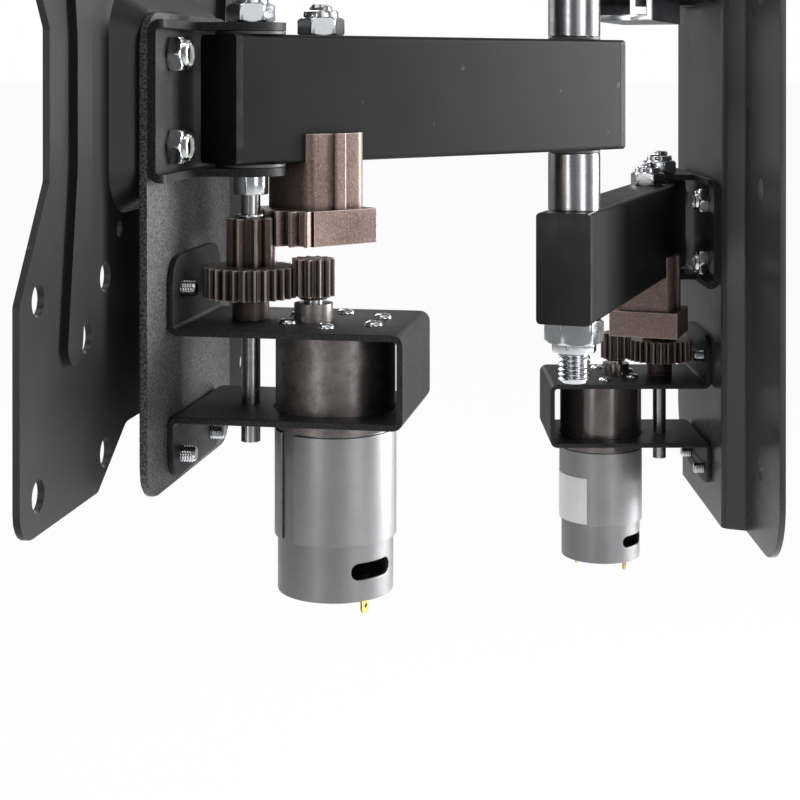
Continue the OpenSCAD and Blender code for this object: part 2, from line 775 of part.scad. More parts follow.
module wall_plate() {
    slope = 4;
    side = hat_w / 2;
    brim = -wall_t / 2;
    top = -hat_depth + wall_t / 2;
    color("#26272a") difference() {
        intersection() {
            translate([0, 0, -wall_h / 2]) linear_extrude(wall_h)
                bent_section([[-wall_w / 2, brim], [-side - slope, brim], [-side, top],
                    [side, top], [side + slope, brim], [wall_w / 2, brim]], wall_t);
            translate([0, eps, 0]) rotate([90, 0, 0]) linear_extrude(hat_depth + 1)
                rounded_box(wall_w, -wall_h / 2, wall_h / 2, wall_round, fine_steps);
        }
        for (x = [-1, 1], z = [-wall_bolt_z / 2, -wall_mid_z / 2, wall_mid_z / 2, wall_bolt_z / 2])
            translate([x * wall_bolt_x / 2, 1, z]) rotate([90, 0, 0]) cylinder(d = wall_hole_d, h = wall_t + 2);
        for (z = [-rear_z, rear_z]) at_wall(z) base_holes(-pivot_to_face - wall_t, wall_t);
        at_wall(-rear_z) screw_holes(wall_t);
    }
}

module tv_spine() {
    color("#1d1e20") at_head() difference() {
        translate([-pivot_to_face - spine_t, 0, 0]) facing(spine_t)
            rounded_box(clevis_w, spine_bottom, spine_top, rim_round);
        base_holes(-pivot_to_face - spine_t, spine_t);
        screw_holes(spine_t);
    }
}

// Outline of the television plate, flared above and below its waist
function plate_outline() = let (w = vesa_w / 2, h = vesa_h / 2, waist = vesa_waist / 2)
    [[waist, 20], [w, 50], [w, h], [w / 2, h], [w / 2 - 24, h - 15], [24 - w / 2, h - 15], [-w / 2, h],
     [-w, h], [-w, 50], [-waist, 20], [-waist, -20], [-w, -50], [-w, -h], [-w / 2, -h],
     [24 - w / 2, 15 - h], [w / 2 - 24, 15 - h], [w / 2, -h], [w, -h], [w, -50], [waist, -20]];
quarter_radii = [3, 3, 8, 3, 6];
plate_radii = [each quarter_radii, each reversed(quarter_radii), each quarter_radii,
    each reversed(quarter_radii)];

// Outline of a pressed bead, which leans outwards at both ends, drawn in by d
function bead_outline(d) = let (half = bead_w / 2 - d, reach = bead_reach - d,
    out = bead_y + bead_lean * (reach - bead_straight) / (bead_reach - bead_straight),
    path = [[out, reach], [bead_y, bead_straight], [bead_y, -bead_straight], [out, -reach]],
    end = half - eps, bend = 3 * bead_w)
    rounded(concat(beside(path, half), reversed(beside(path, -half))),
        [end, bend, bend, end, end, bend, bend, end]);

module beads(d) {
    for (side = [0, 1]) mirror([0, side, 0]) facing(bead_h + eps) polygon(bead_outline(d));
}

module boss_outline(d) {
    rounded_box(boss_w - 2 * d, d - boss_tall / 2, boss_tall / 2 - d, boss_round - d, fine_steps);
}

// The pressed boss with sloping sides, drawn in by d
module boss(d) {
    hull() {
        facing(eps) boss_outline(d);
        translate([boss_h, 0, 0]) facing(eps) boss_outline(d + boss_slope);
    }
}

module tv_plate() {
    through = boss_h + 20;
    back = vesa_face - vesa_t - eps;
    corners = [[vesa_outer, vesa_outer], [vesa_outer, vesa_inner], [vesa_inner, vesa_inner],
        [vesa_inner, vesa_outer], [vesa_diagonal, vesa_diagonal]];
    color("#232427") at_head() difference() {
        union() {
            translate([vesa_face - vesa_t, 0, 0]) facing(vesa_t)
                polygon(rounded(plate_outline(), plate_radii));
            translate([vesa_face - eps, 0, 0]) beads(0);
            translate([vesa_face - eps, 0, 0]) boss(0);
        }
        translate([back, 0, 0]) beads(vesa_t);
        translate([back, 0, 0]) boss(vesa_t);
        for (c = corners, y = [-1, 1], z = [-1, 1])
            translate([vesa_face - through / 2, y * c.x / 2, z * c.y / 2]) rotate([0, 90, 0])
                cylinder(d = vesa_hole_d, h = through);
        for (y = [-1, 1], z = [-1, 1])
            translate([vesa_face - through / 2, y * vesa_small / 2, z * vesa_small / 2]) rotate([0, 90, 0])
                cylinder(d = vesa_small_d, h = through);
        base_holes(vesa_face, boss_h);
    }
}

// A cable clip that hooks on the upper rear arm, with a channel open along its length
module cable_clip() {
    low = -tube_top - clip_channel - 2 * clip_wall;
    outer = tube_w / 2 + 2 * clip_wall + clip_slot;
    color("#17181a") on_rear(rear_z) translate([rear_arm_l - clip_from_elbow, 0, 0]) difference() {
        translate([0, -3, low]) cube([clip_l, outer + 3, clip_rise - tube_top - low]);
        translate([-1, -tube_w / 2, -tube_top]) cube([clip_l + 2, tube_w, tube_h]);
        translate([-1, 0, low + clip_wall]) cube([clip_l + 2, outer - clip_wall, clip_channel]);
        translate([-1, tube_w / 2 + clip_wall, low + clip_wall]) cube([clip_l + 2, clip_slot, tube_h]);
    }
}

module rear_caps() {
    for (z = [-rear_z, rear_z]) on_rear(z) {
        tube_cap(-pivot_overhang + cap_t, -1, pivot_bolt_d);
        tube_cap(rear_arm_l + elbow_overhang - cap_t, 1, elbow_bolt_d);
    }
}

module rear_bushes() {
    for (z = [-rear_z, rear_z]) on_rear(z) both_ends() translate([0, 0, tube_top])
        flanged_bush(pivot_bolt_d, 2 * tongue_r);
}

module elbow_spacer() {
    low = tube_top + flange_t + face_gap;
    translate([rear_arm_l, 0, 0]) difference() {
        upright(spacer_d, low, tube_top + spacer_l);
        upright(elbow_bolt_d + 2 * running, low - 1, tube_top + spacer_l + 1);
    }
}

module elbow_bolt() {
    top = rear_z + tube_top;
    color("#c9cbce") on_rear(0) translate([rear_arm_l, 0, 0]) difference() {
        union() {
            upright(elbow_bolt_d, -top - elbow_bolt_d - 11, top + eps);
            translate([0, 0, top]) cylinder(d = 1.58 * elbow_bolt_d / cos(30), h = 7.5, $fn = 6);
        }
        upright(1.3 * elbow_bolt_d, top + 7.1, top + 9);
    }
}

module front_tube() {
    difference() {
        box_tube(-pivot_overhang + cap_t, front_arm_l + elbow_overhang - cap_t);
        upright(pivot_bolt_d + 2 * bush_wall, -tube_top - 1, tube_top + 1);
        translate([sector_x, 0, 0]) upright(pivot_bolt_d + 2 * loose, -tube_top - 1, tube_top + 1);
        translate([front_arm_l, 0, 0]) upright(elbow_bolt_d + 2 * bush_wall, -tube_top - 1, tube_top + 1);
    }
}

module front_bushes() {
    both_ends() translate([0, 0, tube_top]) flanged_bush(pivot_bolt_d, 2 * tongue_r);
    both_ends() translate([front_arm_l, 0, tube_top]) difference() {
        union() {
            cylinder(d = spacer_d, h = flange_t);
            upright(elbow_bolt_d + 2 * bush_wall, -bush_l, eps);
        }
        upright(elbow_bolt_d + 2 * running, -bush_l - 1, flange_t + 1);
    }
}

steel = "#c6c9cd";
bronze = "#6b4a40";
black = "#202124";

wall_plate();
color(black) at_wall(rear_z) clevis();  // wall_clevis_upper
color(black) at_wall(-rear_z) clevis();  // wall_clevis_lower
color(steel)  // wall_clevis_bolts
    for (z = [-rear_z, rear_z]) at_wall(z) base_bolts(wall_t);
color(steel)  // wall_clevis_nuts
    for (z = [-rear_z, rear_z]) at_wall(z) base_nuts();
color(black) at_wall(-rear_z) motor_bracket();  // wall_motor_bracket
color(steel) at_wall(-rear_z) bracket_screws(wall_t);  // wall_bracket_screws
color("#55565a") at_wall(-rear_z) gearbox_housing();  // wall_gearbox_housing
color(steel) at_wall(-rear_z) gearbox_screws();  // wall_gearbox_screws
color("#8a8c8f") at_wall(-rear_z) motor_can();  // wall_motor_can
color("#85878b") at_wall(-rear_z) flux_ring();  // wall_flux_ring
color("#2a2a2c") at_wall(-rear_z) motor_end_cap();  // wall_motor_end_cap
color("#b08d4a") at_wall(-rear_z) motor_terminals();  // wall_motor_terminals
color("#3b3c40") at_wall(-rear_z) motor_magnets();  // wall_motor_magnets
color("#8f6a3c") at_wall(-rear_z) armature();  // wall_armature
color(steel) at_wall(-rear_z) output_shaft();  // wall_output_shaft
color(bronze) at_wall(-rear_z) pinion();  // wall_pinion
color(bronze)  // wall_compound_gear
    at_wall(-rear_z) compound_gear(-rear_out - wall_axis);
color(steel) at_wall(-rear_z) gear_shaft();  // wall_gear_shaft
color(steel) at_wall(-rear_z) e_clip();  // wall_e_clip
color(bronze) on_rear(-rear_z) arm_casting();  // wall_arm_casting
color(black) on_rear(rear_z) rear_tube();  // rear_arm_upper
color(black) on_rear(-rear_z) difference() {  // rear_arm_lower
    rear_tube();
    translate([sector_x, 0, 0]) upright(pivot_bolt_d + 2 * loose, -tube_top - 1, tube_top + 1);
}
color("#141517") rear_caps();  // rear_arm_caps
color("#d8d8d2") rear_bushes();  // rear_arm_bushes
color(steel) {  // rear_arm_bolts
    for (z = [-rear_z, rear_z]) on_rear(z) pivot_bolt();
    on_rear(-rear_z) casting_bolt();
}
color(steel) {  // rear_arm_nuts
    for (z = [-rear_z, rear_z]) on_rear(z) pivot_nut();
    on_rear(-rear_z) casting_nut();
}
color(steel) on_rear(0) both_ends() elbow_spacer();  // elbow_spacers
elbow_bolt();
color(steel) on_rear(-rear_z - tube_top)  // elbow_nut
    translate([rear_arm_l, 0, 0]) mirror([0, 0, 1]) lock_nut(elbow_bolt_d);
cable_clip();
color(black) on_front() front_tube();  // front_arm_tube
color("#141517") on_front() {  // front_arm_caps
    tube_cap(-pivot_overhang + cap_t, -1, pivot_bolt_d);
    tube_cap(front_arm_l + elbow_overhang - cap_t, 1, elbow_bolt_d);
}
color("#d8d8d2") on_front() front_bushes();  // front_arm_bushes
color(steel) on_front() {  // front_arm_bolts
    pivot_bolt();
    casting_bolt();
}
color(steel) on_front() {  // front_arm_nuts
    pivot_nut();
    casting_nut();
}
color(bronze) on_front() arm_casting();  // tv_arm_casting
color(bronze)  // tv_compound_gear
    at_head() compound_gear(front_axis - head_axis);
color(steel) at_head() gear_shaft();  // tv_gear_shaft
color(steel) at_head() e_clip();  // tv_e_clip
tv_plate();
tv_spine();
color(black) at_head() clevis();  // tv_clevis
color(steel) at_head() base_bolts(spine_t + vesa_t);  // tv_clevis_bolts
color(steel) at_head() base_nuts();  // tv_clevis_nuts
color(black) at_head() motor_bracket();  // tv_motor_bracket
color(steel) at_head() bracket_screws(spine_t);  // tv_bracket_screws
color("#55565a") at_head() gearbox_housing();  // tv_gearbox_housing
color(steel) at_head() gearbox_screws();  // tv_gearbox_screws
color("#8a8c8f") at_head() motor_can();  // tv_motor_can
color("#85878b") at_head() flux_ring();  // tv_flux_ring
color("#2a2a2c") at_head() motor_end_cap();  // tv_motor_end_cap
color("#b08d4a") at_head() motor_terminals();  // tv_motor_terminals
color("#3b3c40") at_head() motor_magnets();  // tv_motor_magnets
color("#8f6a3c") at_head() armature();  // tv_armature
color(steel) at_head() output_shaft();  // tv_output_shaft
color(bronze) at_head() pinion();  // tv_pinion
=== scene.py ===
# Looks of the motorized wall mount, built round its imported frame. Metres, Z up, X along the wall
import json
import math

import bpy
from mathutils import Euler, Matrix, Vector

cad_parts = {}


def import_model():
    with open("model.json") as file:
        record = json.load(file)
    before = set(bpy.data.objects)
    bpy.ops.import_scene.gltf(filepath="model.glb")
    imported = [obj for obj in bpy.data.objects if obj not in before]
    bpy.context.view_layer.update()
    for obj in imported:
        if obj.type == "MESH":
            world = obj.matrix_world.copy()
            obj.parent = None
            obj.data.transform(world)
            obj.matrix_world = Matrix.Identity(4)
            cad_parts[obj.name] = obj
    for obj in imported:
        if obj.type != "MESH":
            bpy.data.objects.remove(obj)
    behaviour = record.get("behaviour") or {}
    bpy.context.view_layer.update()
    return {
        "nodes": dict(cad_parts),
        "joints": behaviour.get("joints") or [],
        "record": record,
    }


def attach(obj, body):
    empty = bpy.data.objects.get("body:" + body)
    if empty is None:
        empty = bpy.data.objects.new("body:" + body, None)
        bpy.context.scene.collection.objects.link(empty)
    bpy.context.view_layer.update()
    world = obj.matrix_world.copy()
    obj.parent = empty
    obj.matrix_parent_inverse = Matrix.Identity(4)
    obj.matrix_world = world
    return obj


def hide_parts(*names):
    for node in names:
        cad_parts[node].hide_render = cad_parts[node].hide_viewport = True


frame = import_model()
scene = bpy.context.scene
joints = {j["name"]: Vector(j["pos_m"]) for j in frame["joints"]}
MM = 0.001

# Sizes that the frame doesn't state, in mm, as the part has them.
# Heights are from an arm's middle, and reaches from a pivot
TUBE_TOP = 20  # top face of an arm tube
TONGUE_OUT = 23.7  # outer face of a clevis tongue
FACE_GAP = 0.2  # play between a clevis tongue and its bolt head or nut
REAR_Z = 62  # rear arms above and below the front arm
PIVOT_TO_FACE = 19  # plate that carries the clevis
CLEVIS_REACH = 16.5  # inner face of the clevis base
BASE_BOLT = (29, 13.7)  # clevis base bolts, sideways and up
SHELF_TOP = -68.4  # top of the motor bracket's upper shelf
SHELF_LOW = -94.5  # top of its lower shelf
MOUNT_SCREW = (16, 11)  # bracket screws, sideways and past their shelf
MOUNT_SCREW_TIP = 4.2  # thread that stands out of the bracket
SCREW_RING_R = 15.5  # gearbox face screws round the motor's axis
SECTOR_X = 27.2  # bolt that holds the toothed casting
BLOCK_FOOT = -46  # underside of the casting
MOTOR_R = 18.8  # outside of the motor's flux ring
RING_TOP = -100.9  # top of that ring
WALL_T, SPINE_T, VESA_T, CLEVIS_T, BRACKET_T = 2.5, 2.5, 2, 2.5, 2  # sheets

# Metric threads and their pitches
M12, M8, M6, M5, M3 = 12, 8, 6, 5, 3
PITCH = {M12: 1.75, M8: 1.25, M6: 1.0, M5: 0.8, M3: 0.5}
THREAD_DEPTH = 0.52  # of the pitch
THREAD_RINGS = 6  # rings of points in one pitch
NUT_FLAT = {M12: 1.58, M8: 1.65, M6: 1.65}  # width across flats, of the thread


# Places of the pivots, each with its x axis along an arm or out of a plate
def place(origin, toward, z):
    """A frame at origin, raised by z mm, with its x axis pointing toward another joint."""
    x = (joints[toward] - joints[origin]).normalized()
    y = Vector((-x.y, x.x, 0))
    at = joints[origin] + Vector((0, 0, z * MM))
    return Matrix(((x.x, y.x, 0, at.x), (x.y, y.y, 0, at.y), (0, 0, 1, at.z), (0, 0, 0, 1)))


WALL_LOW = place("wall_pivot", "wall_pinion_turn", -REAR_Z)
WALL_HIGH = place("wall_pivot", "wall_pinion_turn", REAR_Z)
HEAD = place("tv_pivot", "tv_pinion_turn", 0)
REAR_LOW = place("wall_pivot", "elbow", -REAR_Z)
REAR_HIGH = place("wall_pivot", "elbow", REAR_Z)
FRONT = place("tv_pivot", "elbow", 0)
ELBOW = Matrix.Translation(joints["elbow"])
DOWN = Matrix.Rotation(math.pi, 4, "X")
OUTWARD = Matrix.Rotation(math.pi / 2, 4, "Y")
INWARD = Matrix.Rotation(-math.pi / 2, 4, "Y")


def shift(x, y, z):
    return Matrix.Translation(Vector((x, y, z)) * MM)


# Materials. Distances are in metres, and noise scales are per metre
SHADER_SAMPLES = 6


def grey(level, blue=1.0):
    return level, level, blue * level


class Nodes:
    """Short calls for the nodes of one material."""

    def __init__(self, name, **values):
        self.mat = bpy.data.materials.new(name)
        self.mat.use_nodes = True
        self.tree = self.mat.node_tree
        self.shader = self.tree.nodes["Principled BSDF"]
        self.where = self.add("ShaderNodeTexCoord").outputs["Object"]
        for key, value in values.items():
            self.shader.inputs[key.replace("_", " ")].default_value = value

    def add(self, kind, **values):
        node = self.tree.nodes.new(kind)
        for key, value in values.items():
            setattr(node, key, value)
        return node

    def link(self, a, b):
        self.tree.links.new(a, b)

    def noise(self, scale, detail=3, rough=0.6, stretch=(1, 1, 1)):
        mapping = self.add("ShaderNodeMapping")
        mapping.inputs["Scale"].default_value = stretch
        self.link(self.where, mapping.inputs["Vector"])
        node = self.add("ShaderNodeTexNoise")
        node.inputs["Scale"].default_value = scale
        node.inputs["Detail"].default_value = detail
        node.inputs["Roughness"].default_value = rough
        self.link(mapping.outputs["Vector"], node.inputs["Vector"])
        return node.outputs["Fac"]

    def grains(self, scale):
        node = self.add("ShaderNodeTexVoronoi")
        node.inputs["Scale"].default_value = scale
        self.link(self.where, node.inputs["Vector"])
        return node.outputs["Distance"]

    def spread(self, source, low, high, start=0.3, end=0.7):
        """Goes from low to high as the source goes from start to end."""
        node = self.add("ShaderNodeMapRange")
        for key, value in (("From Min", start), ("From Max", end), ("To Min", low), ("To Max", high)):
            node.inputs[key].default_value = value
        self.link(source, node.inputs["Value"])
        return node.outputs["Result"]

    def mix(self, fac, a, b):
        node = self.add("ShaderNodeMix", data_type="RGBA")
        self.link(fac, node.inputs["Factor"])
        for key, value in (("A", a), ("B", b)):
            socket = [s for s in node.inputs if s.name == key and s.type == "RGBA"][0]
            if hasattr(value, "is_output"):
                self.link(value, socket)
            else:
                socket.default_value = (*value, 1)
        return [s for s in node.outputs if s.type == "RGBA"][0]

    def blend(self, source, a, b, start=0.3, end=0.7, most=1):
        """Goes from colour a to b as the source goes from start to end; b's share ends at most."""
        return self.mix(self.spread(source, 0, most, start, end), a, b)

    def shade(self, distance):
        """An ambient-occlusion mask for painted shade: is 1 in the open and falls towards 0 in narrow
        hollows.
        """
        node = self.add("ShaderNodeAmbientOcclusion", samples=SHADER_SAMPLES)
        node.inputs["Distance"].default_value = distance
        return node.outputs["AO"]

    def edges(self, radius, start=0.02, end=0.3):
        """Grows from 0 on flat stretches to 1 on edges."""
        bevel = self.add("ShaderNodeBevel", samples=SHADER_SAMPLES)
        bevel.inputs["Radius"].default_value = radius
        geometry = self.add("ShaderNodeNewGeometry")
        turn = self.add("ShaderNodeVectorMath", operation="DISTANCE")
        self.link(bevel.outputs["Normal"], turn.inputs[0])
        self.link(geometry.outputs["Normal"], turn.inputs[1])
        return self.spread(turn.outputs["Value"], 0, 1, start, end)

    def bump(self, height, strength, distance):
        node = self.add("ShaderNodeBump")
        node.inputs["Strength"].default_value = strength
        node.inputs["Distance"].default_value = distance
        self.link(height, node.inputs["Height"])
        self.link(node.outputs["Normal"], self.shader.inputs["Normal"])

    def colour(self, socket):
        self.link(socket, self.shader.inputs["Base Color"])

    def roughness(self, source, low, high):
        self.link(self.spread(source, low, high), self.shader.inputs["Roughness"])


def powder_coat(name="black_powder_coat", share=1.0, gloss=0.5):
    """Grained black coat with a painted highlight on its edges; share scales the lightness of its grains.
    """
    m = Nodes(name, Metallic=0.0, Specular_IOR_Level=gloss)
    grain = m.noise(1500, detail=2, rough=0.7)
    cloud = m.noise(18, detail=4)
    pit, peak, haze = (0.007, 0.007, 0.008), grey(0.165 * share, 1.03), (0.030, 0.030, 0.032)
    base = m.blend(grain, pit, peak, 0.40, 0.62)
    base = m.blend(cloud, base, haze, most=0.25)
    # Painted edge highlight: the edge mask gives edges one fixed grey
    m.colour(m.mix(m.edges(0.0005, 0.05, 0.5), base, grey(0.028)))
    m.roughness(cloud, 0.40, 0.52)
    m.bump(grain, strength=0.55, distance=0.00022)
    return m.mat


def satin_paint(name="satin_black_paint", low=0.006, high=0.010, rough=(0.36, 0.46), gloss=0.17):
    """Smooth black paint with a few light specks and a painted highlight on its edges."""
    m = Nodes(name, Metallic=0.0, Specular_IOR_Level=gloss)
    fine = m.noise(900, detail=3, rough=0.5)
    cloud = m.noise(9, detail=5)
    specks = m.noise(260, detail=2, rough=0.4)
    base = m.blend(cloud, grey(low, 1.07), grey(high, 1.07))
    base = m.blend(specks, base, grey(0.06), 0.76, 0.80)
    # Painted edge highlight: the edge mask gives edges one fixed grey
    m.colour(m.mix(m.edges(0.0004, 0.06, 0.5), base, grey(0.030)))
    m.roughness(cloud, *rough)
    m.bump(fine, strength=0.12, distance=0.0001)
    return m.mat


def bright_zinc():
    m = Nodes("bright_zinc", Metallic=1.0)
    cloud = m.noise(120, detail=4)
    dull, bright, painted_valley_shade = (0.60, 0.62, 0.65), (0.82, 0.84, 0.86), (0.10, 0.10, 0.11)
    # Painted shade: the AO mask turns recesses and thread roots dark grey
    m.colour(m.blend(m.shade(0.0009), painted_valley_shade, m.blend(cloud, dull, bright), 0.35, 0.85))
    m.roughness(cloud, 0.08, 0.20)
    m.bump(m.noise(700), strength=0.08, distance=0.00008)
    return m.mat


def chrome_tube():
    m = Nodes("chromed_steel", Metallic=1.0)
    rings = m.noise(60, rough=0.5, stretch=(0.2, 0.2, 30))
    smudge = m.noise(75, detail=5, rough=0.7)
    dull, bright, stain = (0.43, 0.435, 0.45), (0.53, 0.535, 0.55), (0.24, 0.235, 0.24)
    m.colour(m.blend(smudge, m.blend(rings, dull, bright), stain, 0.52, 0.70, most=0.6))
    m.roughness(smudge, 0.17, 0.26)
    m.bump(rings, strength=0.03, distance=0.00004)
    return m.mat


def sintered_metal(name="sintered_bronze_brown", share=1.0):
    """Brown grainy metal with lighter edges of painted highlight and wear, and hollows of painted shade;
    share scales its lightness.
    """
    def tone(*rgb):
        return tuple(share * v for v in rgb)
    m = Nodes(name, Metallic=0.45)
    cloud = m.noise(70, detail=5, rough=0.65)
    fine = m.noise(2100, rough=0.7)
    spots = m.noise(1000, detail=4, rough=0.7)
    dark, brown, light = tone(0.16, 0.100, 0.084), tone(0.27, 0.185, 0.160), tone(0.40, 0.30, 0.265)
    spot, worn, painted_valley_shade = (0.085, 0.050, 0.042), (0.64, 0.54, 0.50), (0.016, 0.008, 0.007)
    base = m.blend(cloud, dark, brown)
    base = m.blend(fine, base, light, 0.46, 0.68, most=0.9)
    base = m.blend(spots, base, spot, 0.50, 0.68, most=0.5)
    # Painted highlight, with some wear: the edge mask lightens every edge
    base = m.mix(m.edges(0.0004), base, worn)
    # Painted shade: the AO mask turns hollows between the teeth near black
    m.colour(m.blend(m.shade(0.0026), painted_valley_shade, base, 0.38, 0.92))
    m.roughness(cloud, 0.32, 0.46)
    m.bump(m.grains(2300), strength=0.26, distance=0.00012)
    return m.mat


def gearbox_steel(name="phosphated_gearbox_steel", rough=(0.13, 0.22), worn=0.0):
    """Dark warm steel; worn brings out dull patches."""
    m = Nodes(name, Metallic=0.85)
    cloud = m.noise(55, detail=6, rough=0.7)
    blots = m.noise(130, detail=5, rough=0.75)
    stains = m.noise(34, detail=5, stretch=(1, 1, 0.35))
    patches = m.noise(150, detail=6, rough=0.8)
    dull, bright, blot = (0.24, 0.215, 0.205), (0.40, 0.355, 0.340), (0.30, 0.22, 0.20)
    stain, patch = (0.060, 0.056, 0.055), (0.13, 0.125, 0.125)
    base = m.blend(cloud, dull, bright)
    base = m.blend(blots, base, blot, 0.50, 0.80, most=0.8)
    base = m.blend(stains, base, stain, 0.42, 0.74, most=0.6)
    m.colour(m.blend(patches, base, patch, 0.46, 0.62, most=worn))
    m.roughness(cloud, *rough)
    m.bump(m.noise(700, detail=2), strength=0.04 + 0.1 * worn, distance=0.0001)
    return m.mat


def motor_steel(name="dull_zinc_motor_ring", share=1.0, rough=(0.36, 0.48)):
    m = Nodes(name, Metallic=0.85)
    streaks = m.noise(60, detail=5, rough=0.65, stretch=(1, 1, 0.25))
    cloud = m.noise(25, detail=5, rough=0.7)
    spots = m.noise(520)
    base = m.blend(cloud, grey(0.29 * share, 1.03), grey(0.38 * share, 1.02))
    m.colour(m.blend(spots, base, (0.20, 0.20, 0.205), 0.72, 0.80))
    m.roughness(streaks, *rough)
    m.bump(m.noise(1300), strength=0.10, distance=0.0001)
    return m.mat


def plain_brass():
    m = Nodes("plain_brass", Metallic=1.0)
    cloud = m.noise(300, detail=4)
    m.colour(m.blend(cloud, (0.50, 0.33, 0.11), (0.70, 0.50, 0.20)))
    m.roughness(cloud, 0.22, 0.36)
    return m.mat


def black_plastic():
    m = Nodes("black_moulded_plastic", Specular_IOR_Level=0.35)
    m.colour(m.blend(m.noise(40, detail=4), (0.007, 0.007, 0.0075), (0.014, 0.014, 0.0145)))
    m.roughness(m.noise(160, detail=4), 0.28, 0.46)
    m.bump(m.noise(320, detail=4), strength=0.25, distance=0.0002)
    return m.mat


def nylon(name, low, high):
    m = Nodes(name, Roughness=0.45)
    m.colour(m.blend(m.noise(90), low, high))
    m.bump(m.noise(500, detail=2), strength=0.05, distance=0.0001)
    return m.mat


def ground_steel():
    m = Nodes("ground_steel", Metallic=1.0)
    rings = m.noise(90, stretch=(0.2, 0.2, 14))
    m.colour(m.blend(rings, (0.44, 0.445, 0.45), (0.53, 0.535, 0.54)))
    m.roughness(rings, 0.20, 0.26)
    m.bump(rings, strength=0.02, distance=0.00003)
    return m.mat


def grey_ferrite():
    m = Nodes("grey_ferrite", Roughness=0.6)
    m.colour(m.blend(m.noise(400), (0.03, 0.03, 0.032), (0.06, 0.06, 0.065)))
    return m.mat


def copper_winding():
    m = Nodes("enamelled_copper", Metallic=0.9)
    turns = m.noise(40, detail=2, rough=0.5, stretch=(0.3, 0.3, 60))
    m.colour(m.blend(turns, (0.26, 0.10, 0.04), (0.55, 0.27, 0.12)))
    m.roughness(turns, 0.25, 0.4)
    m.bump(turns, strength=0.4, distance=0.0003)
    return m.mat


def label_paper():
    m = Nodes("blank_label", Roughness=0.5)
    m.colour(m.blend(m.noise(60), (0.88, 0.88, 0.87), (0.95, 0.95, 0.94)))
    return m.mat


LOOK = {
    "black_sheet": powder_coat(),
    "black_satin": satin_paint(),
    "zinc": bright_zinc(),
    "sintered": sintered_metal(),
    "gearbox_grey": gearbox_steel(),
    "motor_grey": motor_steel(),
    "brass": plain_brass(),
    "black_plastic": black_plastic(),
    "nylon": nylon("white_nylon", (0.55, 0.55, 0.52), (0.68, 0.68, 0.65)),
    "shaft_steel": ground_steel(),
    "ferrite": grey_ferrite(),
    "winding": copper_winding(),
}
LABEL = label_paper()

# Nodes that look unlike the rest of their slot
OWN_LOOKS = (
    (chrome_tube(), ["elbow_spacers"]),
    (satin_paint("wall_plate_paint", 0.038, 0.058, (0.24, 0.34), 0.5), ["wall_plate"]),
    (satin_paint("tv_plate_paint", 0.008, 0.014, (0.34, 0.44), 0.38), ["tv_plate"]),
    (nylon("dark_nylon", grey(0.05), grey(0.09)), ["rear_arm_bushes", "front_arm_bushes"]),
    # A darker copy of the black coat: painted shade on the clevises and motor brackets
    (powder_coat("shaded_copy_powder_coat", 0.2, 0.22),
     ["tv_clevis", "wall_clevis_lower", "wall_clevis_upper", "tv_motor_bracket", "wall_motor_bracket"]),
    (gearbox_steel("worn_gearbox_steel", (0.30, 0.44), 0.85), ["tv_gearbox_housing"]),
    (motor_steel("dull_zinc_motor_can", 0.88, (0.32, 0.46)), ["tv_motor_can", "wall_motor_can"]),
    (sintered_metal("sintered_dark_gear", 0.5),
     ["tv_compound_gear", "wall_compound_gear", "tv_pinion", "wall_pinion"]),
)
NODE_LOOK = {node: look for look, nodes in OWN_LOOKS for node in nodes}


# Finish of the carried-over pieces: softened edges by slot, and smooth shading
EDGE_MM = {"black_sheet": 0.35, "black_satin": 0.3, "sintered": 0.22, "gearbox_grey": 0.4,
           "motor_grey": 0.3, "black_plastic": 0.35, "nylon": 0.2, "shaft_steel": 0.3, "zinc": 0.3}
EDGE_FROM_DEG = 35
EDGE_STEPS = 2
SMOOTH_BELOW_DEG = 30
WELD_MM = 0.01


def smooth_by_angle(limit):
    """A node group that shades faces smooth and keeps edges sharper than the limit."""
    group = bpy.data.node_groups.new("smooth_by_angle", "GeometryNodeTree")
    group.interface.new_socket("Geometry", in_out="INPUT", socket_type="NodeSocketGeometry")
    group.interface.new_socket("Geometry", in_out="OUTPUT", socket_type="NodeSocketGeometry")
    start = group.nodes.new("NodeGroupInput")
    end = group.nodes.new("NodeGroupOutput")
    faces = group.nodes.new("GeometryNodeSetShadeSmooth")
    faces.domain = "FACE"
    edges = group.nodes.new("GeometryNodeSetShadeSmooth")
    edges.domain = "EDGE"
    angle = group.nodes.new("GeometryNodeInputMeshEdgeAngle")
    below = group.nodes.new("FunctionNodeCompare")
    below.data_type = "FLOAT"
    below.operation = "LESS_THAN"
    below.inputs[1].default_value = math.radians(limit)
    group.links.new(angle.outputs["Unsigned Angle"], below.inputs[0])
    group.links.new(start.outputs[0], faces.inputs["Geometry"])
    group.links.new(faces.outputs[0], edges.inputs["Geometry"])
    group.links.new(below.outputs[0], edges.inputs["Shade Smooth"])
    group.links.new(edges.outputs[0], end.inputs[0])
    return group


SMOOTH = smooth_by_angle(SMOOTH_BELOW_DEG)


def soften(obj, width):
    weld = obj.modifiers.new("weld", "WELD")
    weld.merge_threshold = WELD_MM * MM
    bevel = obj.modifiers.new("bevel", "BEVEL")
    bevel.width = width * MM
    bevel.segments = EDGE_STEPS
    bevel.limit_method = "ANGLE"
    bevel.angle_limit = math.radians(EDGE_FROM_DEG)
    obj.modifiers.new("smooth", "NODES").node_group = SMOOTH
    normals = obj.modifiers.new("normals", "WEIGHTED_NORMAL")
    normals.keep_sharp = True


def finish_cad_nodes():
    for part in frame["record"]["subparts"]:
        node, slot = part["node"], part["material_slot"]
        obj = frame["nodes"][node]
        obj.data.materials.clear()
        obj.data.materials.append(NODE_LOOK.get(node, LOOK[slot]))
        if slot in EDGE_MM:
            soften(obj, EDGE_MM[slot])


# Turned pieces: rings of (height, radius), where a radius may depend on the angle
def hexagon(flat):
    return lambda a: flat / 2 / math.cos((a + math.pi / 6) % (math.pi / 3) - math.pi / 6)


def lesser(shape, radius):
    return lambda a: min(shape(a), radius)


